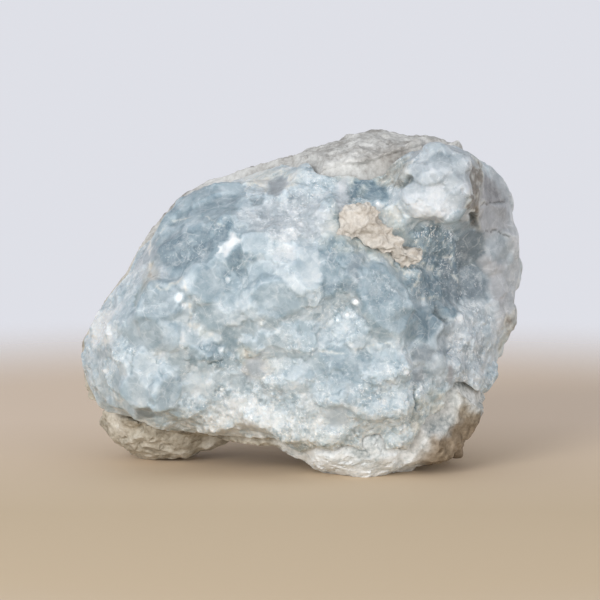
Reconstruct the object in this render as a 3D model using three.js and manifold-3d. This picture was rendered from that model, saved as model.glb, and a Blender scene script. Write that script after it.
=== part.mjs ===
// Celestite geode: a broken piece of geode wall. One side is the pale blue crystal lining, the
// rest is the host rock it grew on, and three rock feet hold it level.
//
// Millimetres, +Z up, +X along the width. The crystal face looks towards -Y. The origin is at the
// middle of the bounding box, on the surface that the geode stands on.

import * as THREE from 'three';
import Module from 'manifold-3d';
import { mergeVertices } from 'three/addons/utils/BufferGeometryUtils.js';
import { ConvexGeometry } from 'three/addons/geometries/ConvexGeometry.js';
import { ImprovedNoise } from 'three/addons/math/ImprovedNoise.js';

const wasm = await Module();
wasm.setup();

// ---------------------------------------------------------------- driving dimensions

const GAP = 0.3; // clearance between two pieces that touch
const CENTRE = new THREE.Vector3(0, 0, 33); // the middle of the body, where its rays start
const FRONT_DEPTH = 26; // from the middle to the crystal face
const BACK_DEPTH = 31; // from the middle to the back of the host rock
const FRONT_SQUARENESS = 3.4; // 2 is an ellipsoid; more makes the face flatter and its rim sharper
const BACK_SQUARENESS = 2.5;
const BODY_DETAIL = 6; // divisions of each icosahedron edge on the body
const LUMP_DETAIL = 2;
const LINING = 5; // how thick the crystal lining is, from the host rock to its crystals' ends
const BED = 3; // how thick its solid bed is, under the free ends of the crystals
const PIT_DEPTH = 1.1; // of the pits in bare host rock
const ABOVE_GROUND = 0.8; // the lining's lower edge stays this far off the standing surface

// The outline as the crystal face shows it: x and z of its corners, anticlockwise from the right.
const OUTLINE = [
  [47, 33], [48, 43], [47.2, 50], [44.4, 56.5], [39.6, 61.6], [34.6, 65.6], [31, 67.8],
  [24, 68.2], [13.7, 67.2], [6.6, 65.8], [3, 64.2], [-7.7, 61.4], [-15, 59.4], [-20.8, 57.6],
  [-26, 54.8], [-31, 48.4], [-34.6, 42.4], [-40.4, 33.6], [-44.6, 27.4], [-46, 21],
  [-44.4, 15.6], [-39.8, 11.4], [-28, 8], [-18, 6.4], [-8, 5.4], [2, 2.4], [16, 1], [30, 1.5],
  [35.4, 6.5], [38, 12], [42.2, 20.4],
];

// ---------------------------------------------------------------- small tools

const radians = (degrees) => (degrees * Math.PI) / 180;
const vec = (x, y, z) => new THREE.Vector3(x, y, z);
const perlin = new ImprovedNoise();
const roughness = (p, size, seed = 0) =>
  perlin.noise(p.x / size + seed, p.y / size + 2 * seed, p.z / size + 3 * seed);
const GOLDEN_ANGLE = Math.PI * (3 - Math.sqrt(5)); // spreads points evenly round a sphere
const smoothStep = (low, high, value) => THREE.MathUtils.smoothstep(value, low, high);

function solidOf(geometry) {
  const bare = geometry.clone();
  for (const name of Object.keys(bare.attributes)) {
    if (name !== 'position') bare.deleteAttribute(name);
  }
  const merged = mergeVertices(bare, 1e-4);
  return new wasm.Manifold(
    new wasm.Mesh({
      numProp: 3,
      vertProperties: merged.attributes.position.array,
      triVerts: new Uint32Array(merged.index.array),
    }),
  );
}

function geometryOf(solid) {
  const mesh = solid.getMesh();
  const geometry = new THREE.BufferGeometry();
  geometry.setAttribute('position', new THREE.BufferAttribute(mesh.vertProperties, 3));
  geometry.setIndex(new THREE.BufferAttribute(mesh.triVerts, 1));
  return geometry;
}

const largestBody = (solid) =>
  solid.decompose().reduce((best, body) => (body.volume() > best.volume() ? body : best));

const joined = (solids) => solids.reduce((whole, solid) => whole.add(solid));

// ---------------------------------------------------------------- the body's outer form

const outlineCurve = new THREE.CatmullRomCurve3(
  OUTLINE.map(([x, z]) => vec(x - CENTRE.x, 0, z - CENTRE.z)), true, 'centripetal',
);
const outlineByAngle = outlineCurve.getPoints(720)
  .map((p) => ({ angle: Math.atan2(p.z, p.x), value: Math.hypot(p.x, p.z) }))
  .sort((a, b) => a.angle - b.angle);

// Reads a closed table of { angle, value } at any angle round the Y axis.
function valueAt(table, angle) {
  const next = table.findIndex((entry) => entry.angle > angle);
  const b = table[next < 0 ? 0 : next];
  const a = table.at(next <= 0 ? -1 : next - 1);
  const turn = 2 * Math.PI;
  const span = (b.angle - a.angle + turn) % turn || turn;
  const share = ((angle - a.angle + turn) % turn) / span;
  return THREE.MathUtils.lerp(a.value, b.value, share);
}

const angleOf = (p) => Math.atan2(p.z - CENTRE.z, p.x - CENTRE.x);

// Broken faces that cut the body: a point on each and its outward direction.
const FRACTURES = [
  { name: 'right flank', at: vec(36.5, -9, 34), facing: vec(0.72, -0.69, 0.02) },
  { name: 'top rim', at: vec(14, -13, 65), facing: vec(-0.05, -0.75, 0.66) },
  { name: 'upper left', at: vec(-31, -17, 49), facing: vec(-0.55, -0.72, 0.42) },
  { name: 'left tip', at: vec(-41, -12, 24), facing: vec(-0.75, -0.62, -0.22) },
  { name: 'lower lip', at: vec(-24, -22, 10), facing: vec(-0.1, -0.45, -0.89) },
  { name: 'back left', at: vec(-26, 22, 36), facing: vec(-0.66, 0.74, 0.15) },
  { name: 'back top', at: vec(8, 24, 54), facing: vec(0.12, 0.7, 0.7) },
  { name: 'back right', at: vec(30, 20, 30), facing: vec(0.78, 0.62, -0.08) },
];
const FRACTURE_STRENGTH = 0.8; // share of what stands past a broken face that is taken off

// Swellings and hollows of the crystal face: place on the face, reach and height.
const FACE_FORMS = [
  { name: 'dark recess', x: 29, z: 43, reach: 8.5, height: -9 },
  { name: 'recess under the rim', x: 15.5, z: 59, reach: 4.5, height: -4.5 },
  { name: 'side recess', x: 38, z: 40, reach: 7, height: -4 },
  { name: 'dark pocket', x: 26, z: 31, reach: 5, height: -3 },
  { name: 'left pocket', x: -15, z: 48, reach: 5, height: -3 },
  { name: 'middle boss', x: 18, z: 35, reach: 9, height: 2 },
  { name: 'left boss', x: -29, z: 32, reach: 10, height: 2 },
  { name: 'low left boss', x: -33, z: 18, reach: 8, height: 2 },
  { name: 'low middle boss', x: 8, z: 9, reach: 13, height: 2 },
  { name: 'upper boss', x: -2, z: 46, reach: 11, height: 1.5 },
];

// A point of the body along a ray from its middle, sunk by a depth where the lining lies. Where it
// does not, the rock is bare and pitted.
function bodyPoint(direction, depthUnderLining, clearance = 0) {
  const outward = Math.hypot(direction.x, direction.z);
  const outline = valueAt(outlineByAngle, Math.atan2(direction.z, direction.x));
  const front = direction.y < 0;
  const depth = front ? FRONT_DEPTH : BACK_DEPTH;
  const power = front ? FRONT_SQUARENESS : BACK_SQUARENESS;
  const across = outward / outline;
  const along = Math.abs(direction.y) / depth;
  const reach = (across ** power + along ** power) ** (-1 / power);
  const p = direction.clone().multiplyScalar(reach).add(CENTRE);
  const side = (across ** (power - 1)) / outline / Math.max(outward, 1e-6);
  const normal = vec(
    direction.x * side, Math.sign(direction.y) * (along ** (power - 1)) / depth, direction.z * side,
  ).normalize();
  for (const { at, facing } of FRACTURES) {
    const past = p.clone().sub(at).dot(facing);
    if (past > 0) p.addScaledVector(facing, -FRACTURE_STRENGTH * past);
  }
  for (const form of front ? FACE_FORMS : []) {
    const away = Math.hypot(p.x - form.x, p.z - form.z) / form.reach;
    p.y -= form.height * Math.exp(-away * away) * smoothStep(0, 8, -p.y);
  }
  const lumps = 1.6 * roughness(p, 15, 1) + 1.1 * roughness(p, 6.5, 2);
  const pits = smoothStep(0.16, 0.4, roughness(p, 5.5, 5));
  p.addScaledVector(normal, lumps);
  const cover = liningCover(p);
  const sink = depthUnderLining * cover + PIT_DEPTH * pits * (1 - cover);
  return p.addScaledVector(normal, clearance - sink);
}

// ---------------------------------------------------------------- where the lining lies

// The lining's edge, as the Y that it reaches back to at each angle round the body.
const LINING_EDGE = [
  [-172, 2], [-150, -5], [-135, -13], [-110, -17], [-88, -19], [-65, -18], [-50, -16], [-35, -8],
  [-20, 6], [0, 10], [25, 10], [38, 4], [46, -7], [56, -13], [80, -13], [90, -8], [108, 0],
  [135, 4], [160, 4],
].map(([angle, value]) => ({ angle: radians(angle), value }));

// Patches of the face where bare host rock shows: the sandy rim and the lower right corner.
const BARE_PATCHES = [
  { name: 'sandy rim', x: 13, z: 69, width: 15, height: 8 },
  { name: 'tongue of the sandy rim', x: 18.5, z: 63, width: 4.5, height: 5 },
  { name: 'lower right corner', x: 35, z: 4, width: 14, height: 13.5 },
];
const EDGE_WIDTH = 1.6; // over which the lining thins out at its edge

function liningCover(p) {
  const behind = p.y - valueAt(LINING_EDGE, angleOf(p)) + 1.5 * roughness(p, 5, 7);
  let cover = 1 - smoothStep(-EDGE_WIDTH, EDGE_WIDTH, behind);
  for (const patch of BARE_PATCHES) {
    const away = Math.hypot((p.x - patch.x) / patch.width, (p.z - patch.z) / patch.height);
    cover *= smoothStep(0.9, 1.15, away + 0.2 * roughness(p, 4, 9));
  }
  return cover;
}

// ---------------------------------------------------------------- the host rock

function displaced(base, pointFor) {
  const geometry = base.clone();
  const position = geometry.attributes.position;
  for (let i = 0; i < position.count; i++) {
    const direction = vec().fromBufferAttribute(position, i).normalize();
    position.setXYZ(i, ...pointFor(direction).toArray());
  }
  return geometry;
}

// A rough lump: an ellipsoid with its own roughness, grown by some clearance.
function lump({ at, radii, seed }, detail, grow = 0) {
  return solidOf(displaced(sphere(detail), (direction) => {
    const p = direction.clone().multiply(radii).add(at);
    const swell = 0.16 * roughness(p, 6, seed) * Math.min(radii.x, radii.y, radii.z);
    return p.addScaledVector(direction, swell + grow);
  }));
}

const ROCK_LUMPS = [
  { name: 'left foot', at: vec(-27.6, 8, 9), radii: vec(13, 12.5, 9.4), seed: 11 },
  { name: 'right foot', at: vec(24.4, 4, 8), radii: vec(11.5, 15, 9), seed: 12 },
  { name: 'front foot', at: vec(12, -11.5, 7.4), radii: vec(12.5, 10.5, 8.6), seed: 13 },
  { name: 'rim knob', at: vec(17, 2, 62.3), radii: vec(14, 13, 6.6), seed: 14 },
];

// Broken corners and ledges of the bare rock. Each is the hull of a few points round its middle.
const ROCK_CHUNKS = [
  { name: 'rim, left', at: vec(6, 1, 62.4), radii: vec(8, 8, 5) },
  { name: 'rim, right', at: vec(25, 8, 62), radii: vec(9, 10, 6) },
  { name: 'upper back ledge', at: vec(4, 20, 52), radii: vec(20, 9, 8) },
  { name: 'back shoulder', at: vec(27, 18, 46), radii: vec(11, 11, 11) },
  { name: 'middle back ledge', at: vec(-8, 26, 36), radii: vec(18, 7, 8) },
  { name: 'back boss', at: vec(12, 27, 30), radii: vec(13, 7, 12) },
  { name: 'left back corner', at: vec(-30, 16, 28), radii: vec(12, 9, 9) },
  { name: 'lower back ledge', at: vec(-6, 23, 17), radii: vec(20, 8, 7) },
  { name: 'lower back corner', at: vec(27, 17, 17), radii: vec(11, 11, 9) },
  { name: 'left foot, outer', at: vec(-32.6, 4, 10.6), radii: vec(8, 9, 7) },
  { name: 'left foot, inner', at: vec(-20, 9, 8.6), radii: vec(8, 10, 6) },
  { name: 'right foot, outer', at: vec(29.4, -2, 9), radii: vec(7, 10, 8) },
  { name: 'front foot, right', at: vec(20, -11, 6.4), radii: vec(8, 8, 6) },
];
const CHUNK_POINTS = 16;

function chunk({ at, radii }, grow = 0) {
  const jut = 0.6 * Math.min(radii.x, radii.y, radii.z);
  const points = [];
  for (let i = 0; i < CHUNK_POINTS; i++) {
    const z = 1 - (2 * i + 1) / CHUNK_POINTS;
    const turn = i * GOLDEN_ANGLE + 0.1 * (at.x + at.z);
    const out = Math.sqrt(1 - z * z);
    const direction = vec(out * Math.cos(turn), out * Math.sin(turn), z);
    const point = direction.clone().multiply(radii).add(at);
    points.push(point.addScaledVector(direction, jut * roughness(point, 4, 3) + grow));
  }
  return solidOf(new ConvexGeometry(points));
}

const sphere = (detail) => mergeVertices(
  new THREE.IcosahedronGeometry(1, detail).deleteAttribute('uv').deleteAttribute('normal'),
);
const bodyBase = sphere(BODY_DETAIL);

function hostRock(clearance) {
  const body = displaced(bodyBase, (direction) => bodyPoint(direction, LINING, clearance));
  return joined([
    solidOf(body),
    ...ROCK_LUMPS.map((form) => lump(form, LUMP_DETAIL, clearance)),
    ...ROCK_CHUNKS.map((form) => chunk(form, clearance)),
  ]);
}

// Everything below the standing surface is cut away, which leaves a flat spot under each foot.
const ground = solidOf(new THREE.BoxGeometry(200, 200, 40).translate(0, 0, -20));
const rock = largestBody(hostRock(0).subtract(ground));

// ---------------------------------------------------------------- crystals

// The corners of a crystal's section: a lozenge, with both, one or none of its sharp ends broken.
const BOTH_ENDS = [[0.5, -0.2], [0.5, 0.14], [0.12, 0.5], [-0.5, 0.24], [-0.5, -0.12], [-0.1, -0.5]];
const ONE_END = [[0.52, -0.1], [0.1, 0.5], [-0.5, 0.26], [-0.5, -0.18], [-0.02, -0.5]];
const NO_END = [[0.5, -0.08], [0.06, 0.48], [-0.5, 0.1], [-0.08, -0.48]];
const IRREGULARITY = 0.09;

// How a crystal ends: the size of its end face against its section, how far down the sloping faces
// reach (none: they run all the way), and how far the end face may tilt.
const HABITS = {
  table: { section: BOTH_ENDS, end: [0.84, 0.8], shoulder: 0.14, tilt: 0.1 },
  blunt: { section: ONE_END, end: [0.66, 0.56], shoulder: 0.3, tilt: 0.2 },
  wedge: { section: ONE_END, end: [0.76, 0.12], shoulder: 0.4, tilt: 0.12 },
  small: { section: NO_END, end: [0.72, 0.66], tilt: 0.35 },
};

// Repeatable random numbers between -1 and 1.
let seed = 7;
function chance() {
  seed = (seed * 1664525 + 1013904223) % 4294967296;
  return seed / 2147483648 - 1;
}

function crystal({ at, axis, width, height, length, turn, habit }) {
  const { section, end, shoulder, tilt } = HABITS[habit];
  const [shiftX, shiftY] = [0.1 * width * chance(), 0.1 * height * chance()];
  const [tiltX, tiltY] = [tilt * chance(), tilt * chance()];
  const corners = section.flatMap(([across, up]) => {
    const x = width * (across + IRREGULARITY * chance());
    const y = height * (up + IRREGULARITY * chance());
    const [endX, endY] = [end[0] * x + shiftX, end[1] * y + shiftY];
    return [
      vec(x, y, -length),
      ...(shoulder ? [vec(x, y, -shoulder * Math.min(width, height))] : []),
      vec(endX, endY, tiltX * endX + tiltY * endY),
    ];
  });
  const upright = new THREE.Quaternion().setFromAxisAngle(vec(0, 0, 1), radians(turn));
  const leaning = new THREE.Quaternion().setFromUnitVectors(vec(0, 0, 1), axis);
  const place = new THREE.Matrix4()
    .makeRotationFromQuaternion(leaning.multiply(upright))
    .setPosition(at);
  return solidOf(new ConvexGeometry(corners).applyMatrix4(place));
}

// The main crystals: the middle of each end face (x and z; y too where it wraps round the side),
// its size, how far it leans right and up from straight out, its turn, how far it stands past
// the bed, and its habit.
const CRYSTALS = [
  // the big blocks of the upper left
  [[-23.3, 47], 13, 9.5, 9, -24, 14, -14, 1.2, 'table'],
  [[-16.9, 56.5], 12.5, 7.5, 8, -10, 30, 12, 0.6, 'table'],
  [[-26, -12, 53], 7, 7, 8, -38, 28, 30, 0.4, 'blunt'],
  [[-13.4, 47.3], 4.4, 6.6, 6, 12, 34, -36, 2.6, 'table'],
  [[-16.2, 50.8], 6, 6, 6, -40, -6, 20, 1.6, 'wedge'],
  [[-31, 43.5], 6.5, 5, 7, -42, 10, 5, 0.2, 'blunt'],
  // the left side
  [[-28.2, 34], 11, 13.5, 9, -12, 3, 16, 1.6, 'table'],
  [[-18.2, 40.3], 9.5, 9.5, 8, 6, 10, 40, 1.4, 'table'],
  [[-22.8, 28], 8, 7.5, 8, 8, -6, -20, 0.8, 'blunt'],
  [[-35, 26.8], 7.5, 7, 8, -26, 8, 10, 0.8, 'table'],
  [[-37, -13, 35], 6, 7, 7, -46, 14, 70, 0.4, 'blunt'],
  [[-31.8, 19], 9, 10.5, 9, -8, -4, 4, 1.8, 'table'],
  [[-25.8, 18.6], 5.5, 10.5, 8, 24, -8, 6, 1.2, 'table'],
  [[-37.8, 20.4], 8, 8, 8, -32, -4, 38, 0.8, 'blunt'],
  [[-41.4, -9, 30.6], 5, 5, 7, -50, 12, 10, 0, 'table'],
  [[-44, -6, 22.6], 8, 8, 8, -64, -4, 20, 0, 'blunt'],
  // the middle
  [[-8.2, 48], 7.5, 6.5, 7, 4, 18, -22, 1, 'table'],
  [[-5.6, 37.5], 9.5, 10, 8, -4, 6, 32, 1.6, 'table'],
  [[0.4, 44], 8, 8.5, 8, 10, 12, 12, 1.4, 'blunt'],
  [[-2.8, 51], 7, 5.5, 7, -8, 24, -8, 0.8, 'wedge'],
  [[2.6, 38.8], 7, 8, 7, 14, -2, -18, 1.8, 'table'],
  [[-14.6, 34.4], 6.5, 6.5, 7, -6, -4, 65, 0.6, 'blunt'],
  [[-7, 29], 6.5, 6.5, 7, 0, 4, 45, 0.9, 'blunt'],
  [[-16.8, 25.2], 6.5, 4.5, 7, 18, -14, 8, 0.4, 'wedge'],
  [[0.4, 29.6], 8.5, 7.5, 8, 6, 2, -34, 1.2, 'table'],
  [[17.4, 36.6], 12.5, 15.5, 9, 5, 6, 14, 1.6, 'blunt'],
  [[8.6, 42.6], 8.5, 9.5, 8, -14, 8, 5, 0.6, 'table'],
  [[8.8, 49.4], 6.5, 5.5, 7, -4, 20, 30, 0.4, 'wedge'],
  [[11, 28.4], 7, 6.5, 7, 4, -8, 50, 0.8, 'wedge'],
  // under the rim
  [[6.4, 55.4], 7, 6, 7, -10, 26, 10, 0.6, 'blunt'],
  [[-0.6, 57.6], 7.5, 5.5, 7, 6, 34, -15, 0.4, 'table'],
  [[-8, 57], 7, 5.5, 7, -6, 38, 18, 0.4, 'blunt'],
  // the deep blue recess and its pocket
  [[25.4, 47.4], 7, 8, 8, 14, -4, 24, 0.6, 'wedge'],
  [[22, 41], 7.5, 7, 8, -10, 8, -18, 0.2, 'wedge'],
  [[30, 40.6], 7.5, 7, 8, 26, 10, 34, 0.8, 'table'],
  [[31.6, 47.6], 7, 6.5, 8, 34, -8, 8, 0.4, 'table'],
  [[26, 31.2], 8.5, 7.5, 7, 10, 14, 26, 0.4, 'table'],
  [[31.6, 32.6], 5, 5, 7, 30, 4, 10, 0.8, 'blunt'],
  // the right side
  [[40.6, 1, 60.4], 8, 8, 8, 60, 24, 10, 0, 'blunt'],
  [[44, 3, 54.6], 9.5, 9.5, 9, 66, 8, 24, 0, 'table'],
  [[46, 2, 46.8], 9, 9.5, 9, 70, 0, 0, 0, 'blunt'],
  [[46.2, 4, 38.8], 8.5, 9.5, 9, 72, -6, 30, 0, 'table'],
  [[45.4, 1, 31.2], 8, 8.5, 8, 70, 0, 14, 0, 'blunt'],
  [[35, 27.2], 6.5, 7, 7, 34, -4, 6, 0.8, 'wedge'],
  [[32.6, 21.6], 6.5, 6, 7, 30, -12, 30, 0.6, 'blunt'],
  [[42.6, 1, 24], 7.5, 8, 8, 68, -10, 40, 0, 'blunt'],
  // the lower middle
  [[8.2, 23.4], 8, 6.5, 8, -6, 10, -10, 0.6, 'table'],
  [[20.8, 23.6], 6, 7, 8, 8, 4, 34, 1.8, 'wedge'],
  [[26.6, 24], 6.5, 6.5, 7, 14, 0, 18, 0.8, 'table'],
  [[14.6, 21.6], 6, 5.5, 7, -4, 2, 60, 1.2, 'blunt'],
  [[7.8, 17], 6, 6, 7, 2, -4, 24, 1, 'blunt'],
  [[14.2, 14.4], 7, 6.5, 8, -6, -6, -26, 1, 'wedge'],
  [[20.6, 14.6], 7, 6.5, 8, 12, -8, 16, 0.8, 'blunt'],
  [[1, 20.6], 6.5, 6.5, 7, 4, 0, 10, 0.8, 'blunt'],
  [[-5.8, 20.4], 6, 6, 7, -10, -2, 40, 0.4, 'wedge'],
  // the lower lip
  [[-22.4, 14.2], 7.5, 6, 8, -4, -16, 12, 1, 'blunt'],
  [[-14.6, 10.6], 6.5, 5.5, 7, 0, -22, 20, 0.8, 'blunt'],
  [[-7.6, 12.4], 7, 6.5, 8, -6, -12, -18, 1, 'wedge'],
  [[-1, 9.6], 7, 6.5, 8, 6, -14, 30, 0.9, 'blunt'],
  [[6.4, 8.4], 7.5, 6.5, 8, -4, -10, 8, 1, 'wedge'],
  [[13.6, 6.6], 7.5, 6, 8, 4, -14, -22, 0.8, 'blunt'],
  [[20.4, 7.4], 6, 5.5, 7, 14, -16, 36, 0.6, 'wedge'],
  [[-31, 12.6], 7, 5, 7, -14, -26, 6, 0.4, 'table'],
];

// The white knob of the upper right that hangs over the recess, and the crystals on it.
const KNOB = [
  { name: 'middle', at: vec(27.6, -13.6, 60), radii: vec(9.6, 9.8, 7.6) },
  { name: 'lower left', at: vec(24.6, -15, 55.4), radii: vec(6.6, 7.8, 4.6) },
  { name: 'right', at: vec(32.4, -11, 58), radii: vec(6, 10, 7.4) },
  { name: 'top', at: vec(27.6, -11, 63.6), radii: vec(8, 8.4, 4) },
];
const KNOB_CRYSTALS = [
  [[28, -24.8, 61], 9, 8, 8, 2, 8, 15, 0, 'blunt'],
  [[24.6, -25, 55.4], 9, 7.5, 8, -6, -10, -20, 0, 'blunt'],
  [[32.6, -22.6, 64.6], 7, 6.5, 7, 20, 30, 40, 0, 'wedge'],
  [[33.8, -23, 57], 7.5, 7, 8, 28, -4, 12, 0, 'blunt'],
  [[22, -22.4, 62.6], 6.5, 6, 7, -22, 20, 30, 0, 'wedge'],
  [[30.6, -23.4, 52.4], 6.5, 5, 7, 10, -30, 8, 0, 'wedge'],
  [[27.6, -21.6, 67.2], 7, 5.5, 7, 2, 46, 10, 0, 'blunt'],
];

const bedGeometry = displaced(bodyBase, (direction) => bodyPoint(direction, LINING - BED));
const bedMesh = new THREE.Mesh(bedGeometry, new THREE.MeshBasicMaterial());
const ray = new THREE.Raycaster();

// The direction that leans right and up from straight out of the crystal face.
function leaningOut(right, up) {
  const [a, b] = [radians(right), radians(up)];
  return vec(Math.sin(a) * Math.cos(b), -Math.cos(a) * Math.cos(b), Math.sin(b));
}

// How far forward the bed reaches at a place on the face. A ray that passes beside the bed is
// drawn towards the middle until it meets it.
function bedFront(x, z) {
  for (let share = 1; share > 0; share -= 0.02) {
    const [rayX, rayZ] = [x * share, THREE.MathUtils.lerp(CENTRE.z, z, share)];
    ray.set(vec(rayX, -100, rayZ), vec(0, 1, 0));
    const [hit] = ray.intersectObject(bedMesh);
    if (hit) return hit.point.y;
  }
  throw new Error(`no bed behind ${x}, ${z}`);
}

function mainCrystal([place, width, height, length, right, up, turn, stand, habit]) {
  const at = place.length === 3
    ? vec(...place)
    : vec(place[0], bedFront(...place) + BED - LINING - stand, place[1]);
  const axis = leaningOut(right, up);
  return { at, axis, width, height, length: length + LINING, turn, habit };
}

// Smaller crystals fill the lining between the main ones. Their places are tried in turn all over
// the lining, and one is left out where it would crowd those that stand there already.
const FILL_TRIES = 1500;
const FILL_BACK = 0.45; // how far behind the middle the tries go, against the body's depth
const CROWDING = 0.38; // the least distance between two crystals, against their widths together

function fillAround(standing) {
  const all = [...standing];
  for (let i = 0; i < FILL_TRIES; i++) {
    const back = -1 + ((i + 0.5) / FILL_TRIES) * (1 + FILL_BACK);
    const out = Math.sqrt(1 - back * back);
    const direction = vec(
      46 * out * Math.cos(i * GOLDEN_ANGLE), FRONT_DEPTH * back, 35 * out * Math.sin(i * GOLDEN_ANGLE),
    ).normalize();
    ray.set(CENTRE.clone().addScaledVector(direction, 100), direction.clone().negate());
    const [hit] = ray.intersectObject(bedMesh);
    const width = 8.4 + 1.6 * chance();
    const axis = hit.face.normal.clone()
      .add(vec(0.4 * chance(), 0.4 * chance(), 0.4 * chance())).normalize();
    const at = hit.point.clone().addScaledVector(hit.face.normal, LINING - BED - 1.1 + 0.4 * chance());
    const height = width * (0.9 + 0.2 * chance());
    const turn = 180 * chance();
    const crowded = all.some((other) => other.at.distanceTo(at) < CROWDING * (other.width + width));
    if (crowded || liningCover(at) < 0.9) continue;
    all.push({ at, axis, width, height, length: width + LINING, turn, habit: 'small' });
  }
  return all;
}

// ---------------------------------------------------------------- the crystal lining

const rockWithClearance = hostRock(GAP).add(hostRock(0));

const grown = joined([
  solidOf(bedGeometry),
  ...KNOB.map((form) => chunk(form)),
  ...fillAround([...CRYSTALS, ...KNOB_CRYSTALS].map(mainCrystal)).map(crystal),
]);
const lining = grown.subtract(rockWithClearance).subtract(ground.translate(0, 0, ABOVE_GROUND));

// ---------------------------------------------------------------- the clay

// Dried clay left in a dip of the crystals: flat lumps that run together.
const CLAY_LUMPS = [
  { at: vec(10.4, -23.6, 50.4), radii: vec(3.8, 2, 2.8) },
  { at: vec(12.4, -23, 53.2), radii: vec(4.6, 2.4, 3.4) },
  { at: vec(15.4, -22.8, 49.8), radii: vec(4.2, 2.4, 3.4) },
  { at: vec(18.8, -21.8, 47.6), radii: vec(3.4, 2.6, 3) },
  { at: vec(21.6, -20.2, 45.4), radii: vec(3.8, 3.4, 2.6) },
];

const clayLumps = (clearance) => joined(CLAY_LUMPS.map((form) => chunk(form, clearance)));
const clay = clayLumps(0).subtract(rockWithClearance);

// ---------------------------------------------------------------- the finished geode

const geode = new THREE.Group();

function addPiece(name, solid, look) {
  const piece = new THREE.Mesh(geometryOf(solid), new THREE.MeshStandardMaterial(look));
  piece.name = name;
  geode.add(piece);
}

addPiece('host_rock', rock, { color: 0xaaa293, roughness: 0.95, metalness: 0 });
addPiece('crystal_lining', largestBody(lining.subtract(clayLumps(GAP))), {
  color: 0xb4c8d3, roughness: 0.22, metalness: 0,
});
addPiece('clay_residue', clay, { color: 0xcbbfac, roughness: 0.98, metalness: 0 });

// The middle of the bounding box goes over the origin.
const middle = new THREE.Box3().setFromObject(geode).getCenter(vec());
for (const piece of geode.children) {
  piece.position.set(-middle.x, -middle.y, 0);
}

export default geode;
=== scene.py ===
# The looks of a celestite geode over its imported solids, in metres. The pieces follow in the order
# in which the real one grew: the host rock, the crust of crystals that lines it, and the clay that
# dried in a dip between them. The studio comes last.

import math

import bmesh
import bpy
import numpy as np
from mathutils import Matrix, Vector, noise
from mathutils.bvhtree import BVHTree
from mathutils.kdtree import KDTree


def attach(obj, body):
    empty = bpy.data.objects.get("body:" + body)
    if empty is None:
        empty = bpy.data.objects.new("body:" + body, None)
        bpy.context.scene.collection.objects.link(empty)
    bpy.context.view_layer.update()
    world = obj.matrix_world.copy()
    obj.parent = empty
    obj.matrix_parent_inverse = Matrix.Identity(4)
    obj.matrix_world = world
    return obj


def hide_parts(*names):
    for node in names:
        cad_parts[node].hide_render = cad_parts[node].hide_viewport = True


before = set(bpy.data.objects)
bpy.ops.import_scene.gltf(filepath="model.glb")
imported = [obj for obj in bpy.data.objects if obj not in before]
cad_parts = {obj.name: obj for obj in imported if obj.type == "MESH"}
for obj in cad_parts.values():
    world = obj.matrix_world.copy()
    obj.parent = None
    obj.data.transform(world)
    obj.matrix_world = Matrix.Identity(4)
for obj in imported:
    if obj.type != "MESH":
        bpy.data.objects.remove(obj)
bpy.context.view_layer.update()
MM = 0.001

# ---------------------------------------------------------------- host rock
# The lump of marly limestone that the geode grew in: grainy and dull, broken into ledges at the
# back, with small pits where grains fell out. It rests on the flat spots under its three feet.

ROCK_VOXEL = 0.52 * MM
ROCK_SMOOTHING = 8
NOISE_SEED = 11

noise.seed_set(NOISE_SEED)  # the vector noise would differ from run to run without it


def copied_solid(node):
    """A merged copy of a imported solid's loose triangles."""
    shape = bmesh.new()
    shape.from_mesh(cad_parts[node].data)
    bmesh.ops.remove_doubles(shape, verts=shape.verts, dist=0.001 * MM)
    return shape


def piece_of(shape, name):
    mesh = bpy.data.meshes.new(name)
    shape.to_mesh(mesh)
    shape.free()
    piece = bpy.data.objects.new(name, mesh)
    bpy.context.scene.collection.objects.link(piece)
    return piece


def apply_modifiers(piece):
    finished = piece.evaluated_get(bpy.context.evaluated_depsgraph_get())
    mesh = bpy.data.meshes.new_from_object(finished)
    piece.modifiers.clear()
    piece.data = mesh


def wear_edges(piece, rounds):
    wear = piece.modifiers.new("wear", "SMOOTH")
    wear.factor = 0.5
    wear.iterations = rounds


def remesh(piece, voxel, smoothing=0):
    """Gives a piece an even mesh, and wears its edges in some rounds of smoothing."""
    even = piece.modifiers.new("even mesh", "REMESH")
    even.mode = "VOXEL"
    even.voxel_size = voxel
    if smoothing:
        wear_edges(piece, smoothing)
    apply_modifiers(piece)


def refined(node, name, voxel, smoothing):
    """A copy of a solid with an even, fine mesh, its sharp edges slightly worn."""
    piece = piece_of(copied_solid(node), name)
    remesh(piece, voxel, smoothing)
    return piece


def places_of(mesh):
    """The places of a mesh's points, in mm."""
    places = np.empty(len(mesh.vertices) * 3)
    mesh.vertices.foreach_get("co", places)
    return places.reshape(-1, 3) / MM


def normals_of(mesh):
    normals = np.empty(len(mesh.vertices) * 3)
    mesh.vertices.foreach_get("normal", normals)
    return normals.reshape(-1, 3)


def set_places(mesh, places):
    mesh.vertices.foreach_set("co", (places * MM).ravel())
    mesh.update()


def move_points(piece, relief):
    """Moves each point of a piece along its normal by relief(place in mm), in mm."""
    places = places_of(piece.data)
    heights = np.array([relief(Vector(place)) for place in places])
    places += normals_of(piece.data) * heights[:, None]
    places[:, 2] = np.maximum(places[:, 2], 0)
    set_places(piece.data, places)


def step(low, high, value):
    share = min(max((value - low) / (high - low), 0), 1)
    return share * share * (3 - 2 * share)


def rock_relief(p):
    lumps = 0.8 * noise.noise(p / 6.3)
    broken = 0.9 * (0.35 - abs(noise.noise(p / 3.4 + Vector((9, 2, 5)))))
    grains = 0.28 * noise.noise(p / 1.25 + Vector((3, 8, 1)))
    pits = 0.8 * step(0.3, 0.6, noise.noise(p / 2.4 + Vector((7, 1, 4))))
    return lumps + broken + grains - pits


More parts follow.
